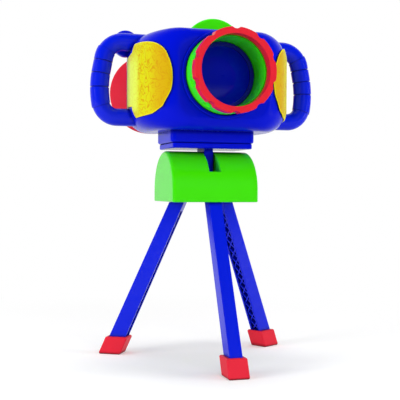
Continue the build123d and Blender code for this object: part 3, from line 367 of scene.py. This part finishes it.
yellow_skin = moulding("yellow skin", AMBER, roughness=0.4, gloss=0.08, grain=700.0, bump=0.1)
pad_tree = yellow_skin.node_tree
pad_place = add_node(pad_tree, "ShaderNodeTexCoord").outputs["Object"]
pad_axes = add_node(pad_tree, "ShaderNodeSeparateXYZ", Vector=pad_place).outputs
squiggle = add_node(
    pad_tree,
    "ShaderNodeTexNoise",
    Vector=pad_place,
    Scale=PRINT_SCALE,
    Detail=0.5,
    Distortion=0.7,
)
squiggle_line = chain(
    pad_tree,
    squiggle.outputs["Fac"],
    ("MULTIPLY", PRINT_BANDS),
    ("FRACT",),
    ("SUBTRACT", 0.5),
    ("ABSOLUTE",),
    ("MULTIPLY", -PRINT_SHARPNESS),
    ("ADD", PRINT_WEIGHT),
    ("MINIMUM", 1.0),
    ("MAXIMUM", 0.0),
)
# Painted light on the turning corner and on the side, cut off at the top and the bottom by painted
# shadow of the handle's arms. The print fades in the painted light.
pad_corner_light = rescale(pad_tree, pad_axes["Y"], CORNER_LIGHT_FADE, style="SMOOTHSTEP")
pad_side_light = chain(
    pad_tree,
    rescale(pad_tree, pad_axes["Y"], SIDE_LIGHT_FADE, style="SMOOTHSTEP"),
    ("MULTIPLY", rescale(pad_tree, pad_axes["Z"], SIDE_LIGHT_FOOT, style="SMOOTHSTEP")),
    ("MULTIPLY", rescale(pad_tree, pad_axes["Z"], SIDE_LIGHT_HEAD, style="SMOOTHSTEP")),
)
pad_ink = chain(
    pad_tree, pad_side_light, ("MULTIPLY", -PRINT_LOSS_IN_LIGHT), ("ADD", 1.0), ("MULTIPLY", squiggle_line)
)
pad_rim = add_node(pad_tree, "ShaderNodeAttribute", attribute_name="rim").outputs["Fac"]
corner_lit = blend_colour(pad_tree, pad_corner_light, AMBER, CORNER_LIT_YELLOW)
side_lit = blend_colour(pad_tree, pad_side_light, corner_lit, SIDE_LIT_LEMON)
printed = blend_colour(pad_tree, pad_ink, side_lit, PRINT_ORANGE)
rimmed = blend_colour(pad_tree, pad_rim, printed, RIM_YELLOW)
put(pad_tree, pad_tree.nodes["skin"].inputs["Colour"], rimmed)

SKIN_WELD = 1e-6
SKIN_VOXEL = 0.00045
SKIN_SMOOTHING = 3
RIM_WIDTH = 0.0012
RIM_TURN = radians(35.0)
CREASE_PLACE = -0.0335
CREASE_REACH = 0.003
CREASE_DEPTH = 0.0005
CHIN_CUTS = (((0.0232, 0.017), (0.0186, 0.0073)), ((0.0199, 0.0092), (0.0114, 0.0018)))


def overmoulded(node):
    """A soft skin of the CAD pad's form, rolled and creased, that knows how near its rim is."""
    draft = bmesh.new()
    draft.from_mesh(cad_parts[node].data)
    bmesh.ops.remove_doubles(draft, verts=draft.verts, dist=SKIN_WELD)
    low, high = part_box(node)
    outside, inward = (low[0], 1.0) if low[0] < 0 else (high[0], -1.0)
    for (high_in, high_up), (low_in, low_up) in CHIN_CUTS:
        trimmed = bmesh.ops.bisect_plane(
            draft,
            geom=[*draft.verts, *draft.edges, *draft.faces],
            plane_co=(outside + inward * low_in, 0.0, low[2] + low_up),
            plane_no=(inward * (high_up - low_up), 0.0, low_in - high_in),
            clear_outer=True,
        )
        cut = [part for part in trimmed["geom_cut"] if isinstance(part, bmesh.types.BMEdge)]
        bmesh.ops.triangle_fill(draft, use_beauty=True, edges=cut)
    bmesh.ops.recalc_face_normals(draft, faces=draft.faces)
    marks = []
    for edge in draft.edges:
        if edge.is_manifold and edge.calc_face_angle() > RIM_TURN:
            first, second = (corner.co for corner in edge.verts)
            count = max(2, round(edge.calc_length() / SKIN_VOXEL))
            marks += [first.lerp(second, step / count) for step in range(count + 1)]
    rim_tree = KDTree(len(marks))
    for index, mark in enumerate(marks):
        rim_tree.insert(mark, index)
    rim_tree.balance()
    rough = bpy.data.meshes.new(f"{node} draft")
    draft.to_mesh(rough)
    draft.free()
    piece = bpy.data.objects.new(f"{node}_skin", rough)
    bpy.context.collection.objects.link(piece)
    remesh = piece.modifiers.new("remesh", "REMESH")
    remesh.mode = "VOXEL"
    remesh.voxel_size = SKIN_VOXEL
    ready = piece.evaluated_get(bpy.context.evaluated_depsgraph_get())
    skin = bpy.data.meshes.new_from_object(ready)
    piece.modifiers.clear()
    piece.data = skin
    form = bmesh.new()
    form.from_mesh(skin)
    every_way = {"use_axis_x": True, "use_axis_y": True, "use_axis_z": True}
    for _ in range(SKIN_SMOOTHING):
        bmesh.ops.smooth_vert(form, verts=form.verts, factor=0.5, **every_way)
    form.normal_update()
    outward = Vector((-inward, -1.0, 0.0)).normalized()
    for vertex in form.verts:
        apart = min(1.0, abs(vertex.co.y - CREASE_PLACE) / CREASE_REACH)
        dip = CREASE_DEPTH * (1.0 - apart * apart * (3.0 - 2.0 * apart))
        vertex.co -= vertex.normal * dip * max(0.0, vertex.normal.dot(outward))
    form.to_mesh(skin)
    form.free()
    rim = skin.attributes.new("rim", "FLOAT", "POINT")
    for vertex in skin.vertices:
        apart = rim_tree.find(vertex.co)[2]
        rim.data[vertex.index].value = min(1.0, max(0.0, 2.0 - 2.0 * apart / RIM_WIDTH))
    skin.shade_smooth()
    skin.materials.clear()
    skin.materials.append(yellow_skin)
    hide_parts(node)
    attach(piece, "telescope")


for side in ("left", "right"):
    overmoulded(f"{side}_pad")

# Focus barrel: a green sleeve with thumb dimples that turns in the housing's collar, and a red
# notched ring fixed on its front as the grip. Both are moulded plastic.
satin_green = moulding("satin green plastic", (0.045, 0.75, 0.0012), gloss=0.06, radius=0.0008)
dress("focus_sleeve", satin_green)
red_plastic = moulding("red plastic", (0.66, 0.0145, 0.029), gloss=0.1)
dress("grip_ring", red_plastic)

# Objective: a coated lens, dark blue to look into, laid in a cell and held there by a retaining
# ring. Cell and ring are a darker copy of the blue plastic, painted shade for the hollow of the
# barrel. The barrel's turn moves the cell.
# Painted shade: a darker copy of the blue plastic stands in for the shade inside the barrel.
shaded_blue_plastic = moulding("shaded blue plastic", (0.001, 0.006, 0.42), roughness=0.5)
dress("lens_cell", shaded_blue_plastic)
dress("lens_retainer", shaded_blue_plastic)


def lens_glass(name, colour, transmission, gloss):
    """Polished glass whose coating tints it and lowers its gloss."""
    material, _, shader = new_material(name)
    shader.inputs["Base Color"].default_value = (*colour, 1.0)
    shader.inputs["Roughness"].default_value = 0.08
    shader.inputs["IOR"].default_value = 1.5
    shader.inputs["Specular IOR Level"].default_value = gloss
    shader.inputs["Transmission Weight"].default_value = transmission
    return material


coated_glass = lens_glass(
    "coated objective glass", (0.001, 0.006, 0.55), transmission=0.1, gloss=0.1
)
dress("objective_lens", coated_glass)

# Fine focus: a green plastic wheel that stands out of the roof, on the spindle that moves the
# eyepieces. These are black tubes on one bridge, each with a clear lens.
dress("focus_wheel", satin_green)
black_plastic = moulding("black plastic", (0.012, 0.012, 0.016), roughness=0.55)
eye_glass = lens_glass("eyepiece glass", (0.75, 0.82, 0.95), transmission=1.0, gloss=0.5)
dress("eyepiece_bridge", black_plastic)
for side in ("left", "right"):
    dress(f"{side}_eyepiece", black_plastic)
    dress(f"{side}_eye_lens", eye_glass)

# Eye mask: a soft red goggle in one flared moulding that grips the housing's plinth. Its rim is
# rolled where it meets the face, and it sweeps forward in the middle to leave room for the nose.
MASK_WALL = 0.0026
MASK_BRIM_INSET = 0.75 * MASK_WALL
MASK_COLLAR = 0.0078
MASK_GRIP = 0.0241
MASK_GRIP_LOBE = 0.028
MASK_SEGMENTS = 70
MASK_FLAT_CUTS = 27
MASK_LOOPS = 14
MASK_ROLL = 0.001
MASK_ROLL_TURN = radians(50.0)
NOSE_HALF = 0.023
NOSE_SWEEP = 0.86

mask_places = [vertex.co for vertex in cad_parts["eye_mask"].data.vertices]
mask_low = [min(place[axis] for place in mask_places) for axis in range(3)]
mask_high = [max(place[axis] for place in mask_places) for axis in range(3)]
eye_heights = [vertex.co.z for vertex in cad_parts["left_eyepiece"].data.vertices]
eyes_z = sum(eye_heights) / len(eye_heights)
brim_radius = (mask_high[2] - mask_low[2]) / 2
brim_lobe = mask_high[0] - brim_radius
brim_z = (mask_high[2] + mask_low[2]) / 2
flare_start = mask_low[1] + MASK_COLLAR
flare_end = mask_high[1] - MASK_BRIM_INSET

flare = bmesh.new()
bmesh.ops.create_circle(flare, segments=MASK_SEGMENTS, radius=MASK_GRIP)
bmesh.ops.rotate(flare, verts=flare.verts, matrix=Matrix.Rotation(pi / 2, 3, "X"))
for vertex in flare.verts:
    vertex.co.x += MASK_GRIP_LOBE if vertex.co.x > 0 else -MASK_GRIP_LOBE
flats = [edge for edge in flare.edges if edge.calc_length() > MASK_GRIP_LOBE]
bmesh.ops.subdivide_edges(flare, edges=flats, cuts=MASK_FLAT_CUTS)
loop = list(flare.edges)
for step in range(MASK_LOOPS):
    grown = bmesh.ops.extrude_edge_only(flare, edges=loop)["geom"]
    moved = [part for part in grown if isinstance(part, bmesh.types.BMVert)]
    bmesh.ops.translate(flare, verts=moved, vec=(0.0, 1.0, 0.0))
    loop = [
        part
        for part in grown
        if isinstance(part, bmesh.types.BMEdge) and all(corner in moved for corner in part.verts)
    ]
for vertex in flare.verts:
    x, step, z = vertex.co
    share = max(0.0, (step - 1.0) / (MASK_LOOPS - 1.0))
    if z < 0 and abs(x) < NOSE_HALF:
        share *= 1.0 - NOSE_SWEEP * cos(pi * x / NOSE_HALF / 2) ** 2
    lobe = MASK_GRIP_LOBE + (brim_lobe - MASK_GRIP_LOBE) * share
    swell = 1.0 + (brim_radius / MASK_GRIP - 1.0) * share
    if abs(x) > MASK_GRIP_LOBE:
        end = 1.0 if x > 0 else -1.0
        vertex.co.x = end * lobe + (x - end * MASK_GRIP_LOBE) * swell
    else:
        vertex.co.x = x * lobe / MASK_GRIP_LOBE
    vertex.co.y = mask_low[1] if step < 0.5 else flare_start + (flare_end - flare_start) * share
    vertex.co.z = eyes_z + (brim_z - eyes_z) * share + z * swell
bmesh.ops.recalc_face_normals(flare, faces=flare.faces)
top_face = max(flare.faces, key=lambda face: face.calc_center_median().z)
if top_face.normal.z < 0:
    bmesh.ops.reverse_faces(flare, faces=flare.faces)
mask_mesh = bpy.data.meshes.new("goggle")
flare.to_mesh(mask_mesh)
flare.free()
mask_mesh.shade_smooth()
mask_mesh.materials.append(red_rubber)
mask = bpy.data.objects.new("goggle", mask_mesh)
bpy.context.collection.objects.link(mask)
wall = mask.modifiers.new("wall", "SOLIDIFY")
wall.thickness = MASK_WALL
wall.offset = -1.0
rolled = mask.modifiers.new("rolled rim", "BEVEL")
rolled.width = MASK_ROLL
rolled.segments = 3
rolled.limit_method = "ANGLE"
rolled.angle_limit = MASK_ROLL_TURN
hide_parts("eye_mask")
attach(mask, "telescope")

# Floor and light: a white paper sweep that keeps the tripod's soft shadow and fades into white
# surroundings, with a dark room on the camera's side. Broad lamps stand on the left and the right,
# with a weaker one in front and one overhead.
WHITE = (1.0, 1.0, 1.0, 1.0)
PAPER_GREY = (0.8, 0.8, 0.8, 1.0)
PAPER_RADIUS = 6.0
PAPER_LIFT = 0.25
PAPER_ROOM = (-0.15, 0.25)
SHADOW_FADE = (0.2, 0.5)
SKY_FILL = 0.36
SKY_ROOM = (-0.2, 0.7)
SKY_LEVEL = (0.01, 1.0)

bpy.ops.mesh.primitive_circle_add(vertices=96, radius=PAPER_RADIUS, fill_type="NGON")
floor = bpy.context.object
floor.name = "floor"
paper, paper_tree, paper_shader = new_material("white paper")
paper_shader.inputs["Base Color"].default_value = PAPER_GREY
paper_shader.inputs["Roughness"].default_value = 0.9
paper_shader.inputs["Specular IOR Level"].default_value = 0.0
paper_ray = add_node(paper_tree, "ShaderNodeLightPath").outputs
paper_place = add_node(paper_tree, "ShaderNodeTexCoord").outputs["Object"]
paper_axes = add_node(paper_tree, "ShaderNodeSeparateXYZ", Vector=paper_place).outputs
paper_room = rescale(paper_tree, paper_axes["Y"], PAPER_ROOM, style="SMOOTHSTEP")
paper_gloss = maths(paper_tree, "MULTIPLY", paper_ray["Is Glossy Ray"], paper_room)
paper_seen = maths(paper_tree, "MAXIMUM", paper_ray["Is Camera Ray"], paper_gloss)
paper_lift = maths(paper_tree, "MULTIPLY", paper_seen, PAPER_LIFT)
paper_glow = add_node(paper_tree, "ShaderNodeEmission", Strength=paper_lift)
paper_near = add_node(paper_tree, "ShaderNodeAddShader")
put(paper_tree, paper_near.inputs[0], paper_shader.outputs[0])
put(paper_tree, paper_near.inputs[1], paper_glow.outputs[0])
paper_reach = add_node(paper_tree, "ShaderNodeVectorMath", operation="LENGTH", Vector=paper_place)
paper_fade = rescale(paper_tree, paper_reach.outputs["Value"], SHADOW_FADE, style="SMOOTHSTEP")
paper_far = maths(paper_tree, "MULTIPLY", paper_fade, paper_seen)
paper_white = add_node(paper_tree, "ShaderNodeEmission", Strength=1.0)
paper_mix = add_node(paper_tree, "ShaderNodeMixShader")
for place, value in enumerate((paper_far, paper_near.outputs[0], paper_white.outputs[0])):
    put(paper_tree, paper_mix.inputs[place], value)
put(paper_tree, paper_tree.nodes["Material Output"].inputs["Surface"], paper_mix.outputs[0])
floor.data.materials.append(paper)

world = bpy.data.worlds.new("studio")
bpy.context.scene.world = world
world.use_nodes = True
world_tree = world.node_tree
world_tree.nodes.clear()
sky_ray = add_node(world_tree, "ShaderNodeLightPath").outputs
sky_way = add_node(world_tree, "ShaderNodeTexCoord").outputs["Generated"]
sky_axes = add_node(world_tree, "ShaderNodeSeparateXYZ", Vector=sky_way).outputs
sky_room = rescale(world_tree, sky_axes["Y"], SKY_ROOM, SKY_LEVEL, style="SMOOTHSTEP")
sky_white = maths(world_tree, "MAXIMUM", sky_ray["Is Camera Ray"], sky_room)
sky_any = chain(
    world_tree,
    sky_ray["Is Camera Ray"],
    ("MAXIMUM", sky_ray["Is Glossy Ray"]),
    ("MAXIMUM", sky_ray["Is Transmission Ray"]),
)
sky_fill = add_node(world_tree, "ShaderNodeBackground", Color=WHITE, Strength=SKY_FILL)
sky_seen = add_node(world_tree, "ShaderNodeBackground", Color=WHITE, Strength=sky_white)
sky_mix = add_node(world_tree, "ShaderNodeMixShader")
for place, value in enumerate((sky_any, sky_fill.outputs[0], sky_seen.outputs[0])):
    put(world_tree, sky_mix.inputs[place], value)
add_node(world_tree, "ShaderNodeOutputWorld", Surface=sky_mix.outputs[0])


def soft_lamp(name, place, aim, size, power):
    """A square softbox that faces a point and doesn't show in gloss."""
    lamp = bpy.data.lights.new(name, "AREA")
    lamp.size = size
    lamp.energy = power
    holder = bpy.data.objects.new(name, lamp)
    bpy.context.collection.objects.link(holder)
    holder.location = place
    holder.rotation_euler = (Vector(aim) - Vector(place)).to_track_quat("-Z", "Y").to_euler()
    holder.visible_glossy = False


MIDDLE = (0.0, 0.0, 0.18)
GROUND = (0.0, 0.0, 0.0)
soft_lamp("left lamp", place=(-1.65, -0.45, 0.5), aim=MIDDLE, size=0.9, power=21.0)
soft_lamp("front lamp", place=(0.2, -1.9, 0.8), aim=MIDDLE, size=1.2, power=11.0)
soft_lamp("right lamp", place=(1.5, -0.8, 0.4), aim=MIDDLE, size=0.9, power=15.5)
soft_lamp("top lamp", place=(0.05, 0.15, 3.0), aim=GROUND, size=0.8, power=27.0)

# Camera: the photograph's viewpoint, a little left of the telescope's nose and level with its
# base, turned to the right and hardly tilted or rolled.
eye = Vector((-0.2361, -0.7638, 0.1565))
yaw, pitch, roll = radians(16.86), radians(-0.76), radians(0.32)
ahead = Vector((sin(yaw) * cos(pitch), cos(yaw) * cos(pitch), sin(pitch)))
across = Vector((cos(yaw), -sin(yaw), 0.0))
above = across.cross(ahead)
right = across * cos(roll) + above * sin(roll)
up = above * cos(roll) - across * sin(roll)
turn = Matrix((right, up, -ahead)).transposed()
camera_data = bpy.data.cameras.new("camera")
camera_data.sensor_width = 36.0
camera_data.lens = 77.73
camera = bpy.data.objects.new("camera", camera_data)
bpy.context.collection.objects.link(camera)
camera.matrix_world = Matrix.Translation(eye) @ turn.to_4x4()
bpy.context.scene.camera = camera
bpy.context.scene.view_settings.view_transform = "Standard"
